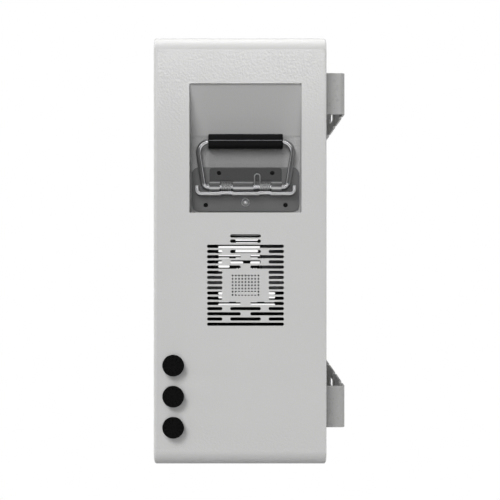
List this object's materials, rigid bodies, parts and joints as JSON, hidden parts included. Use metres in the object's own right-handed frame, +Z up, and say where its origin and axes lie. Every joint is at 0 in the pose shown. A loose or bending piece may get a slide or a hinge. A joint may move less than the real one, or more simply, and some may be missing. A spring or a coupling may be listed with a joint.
{
  "type": "wall battery unit",
  "caption": "Upright wall-hung battery cabinet of folded sheet steel on two wall brackets, with sprung folding lift handles in side pockets, slotted side vents and cable glands.",
  "frame": {"origin": "on the wall plane behind the brackets, on the unit's centre line and at mid-height", "axes": "+X to the unit's right seen from the front, +Y into the wall, +Z up"},
  "size_m": [0.464, 0.252, 0.56],
  "materials": {
    "powder_coat": "light grey fine-textured powder coat",
    "bracket_coat": "grey satin powder coat",
    "bright_steel": "bright plated steel wire",
    "dark_plated_steel": "dark plated sheet steel",
    "black_oxide_steel": "black oxide",
    "black_rubber": "matt moulded rubber",
    "black_nylon": "moulded nylon",
    "module_case": "moulded case",
    "plated_copper": "tin-plated copper",
    "zinc_sheet": "galvanised sheet",
    "relay_case": "moulded case",
    "terminal_case": "moulded case"
  },
  "bodies": {
    "casing": {"casing_wrap": "powder_coat", "front_cover": "powder_coat", "rear_panel": "powder_coat", "right_handle_pocket": "powder_coat", "left_handle_pocket": "powder_coat", "upper_wall_bracket": "bracket_coat", "lower_wall_bracket": "bracket_coat", "cover_screw_1": "black_oxide_steel", "cover_screw_2": "black_oxide_steel", "cover_screw_3": "black_oxide_steel", "cover_screw_4": "black_oxide_steel", "right_handle_plate": "dark_plated_steel", "right_hinge_strap": "dark_plated_steel", "right_front_spring": "bright_steel", "right_rear_spring": "bright_steel", "right_stop_rivet": "bright_steel", "right_handle_screw_1": "black_oxide_steel", "right_handle_screw_2": "black_oxide_steel", "right_handle_screw_3": "black_oxide_steel", "right_handle_screw_4": "black_oxide_steel", "left_handle_plate": "dark_plated_steel", "left_hinge_strap": "dark_plated_steel", "left_front_spring": "bright_steel", "left_rear_spring": "bright_steel", "left_stop_rivet": "bright_steel", "left_handle_screw_1": "black_oxide_steel", "left_handle_screw_2": "black_oxide_steel", "left_handle_screw_3": "black_oxide_steel", "left_handle_screw_4": "black_oxide_steel", "gland_body_1": "black_nylon", "gland_cap_1": "black_nylon", "gland_seal_1": "black_rubber", "gland_locknut_1": "black_nylon", "gland_body_2": "black_nylon", "gland_cap_2": "black_nylon", "gland_seal_2": "black_rubber", "gland_locknut_2": "black_nylon", "gland_body_3": "black_nylon", "gland_cap_3": "black_nylon", "gland_seal_3": "black_rubber", "gland_locknut_3": "black_nylon", "lower_left_module": "module_case", "lower_right_module": "module_case", "upper_right_module": "module_case", "upper_left_module": "module_case", "negative_bar": "plated_copper", "lower_link": "plated_copper", "riser_link": "plated_copper", "upper_link": "plated_copper", "positive_bar": "plated_copper", "module_shelf": "zinc_sheet", "bms_tray": "zinc_sheet", "bms_cover": "zinc_sheet", "contactor": "relay_case", "main_fuse": "relay_case", "dc_terminal_block": "terminal_case"},
    "right_handle": {"right_bail": "bright_steel", "right_grip": "black_rubber"},
    "left_handle": {"left_bail": "bright_steel", "left_grip": "black_rubber"}
  },
  "joints": [
    {"name": "right_handle_swing", "type": "hinge", "parent": "casing", "child": "right_handle", "pos_m": [0.1998, -0.1325, 0.0849], "axis": [0, 1, 0], "range_deg": [0, 90], "stiffness_Nm_per_rad": 0.15, "springref_deg": -45.84},
    {"name": "left_handle_swing", "type": "hinge", "parent": "casing", "child": "left_handle", "pos_m": [-0.1998, -0.1325, 0.0849], "axis": [0, -1, 0], "range_deg": [0, 90], "stiffness_Nm_per_rad": 0.15, "springref_deg": -45.84}
  ]
}
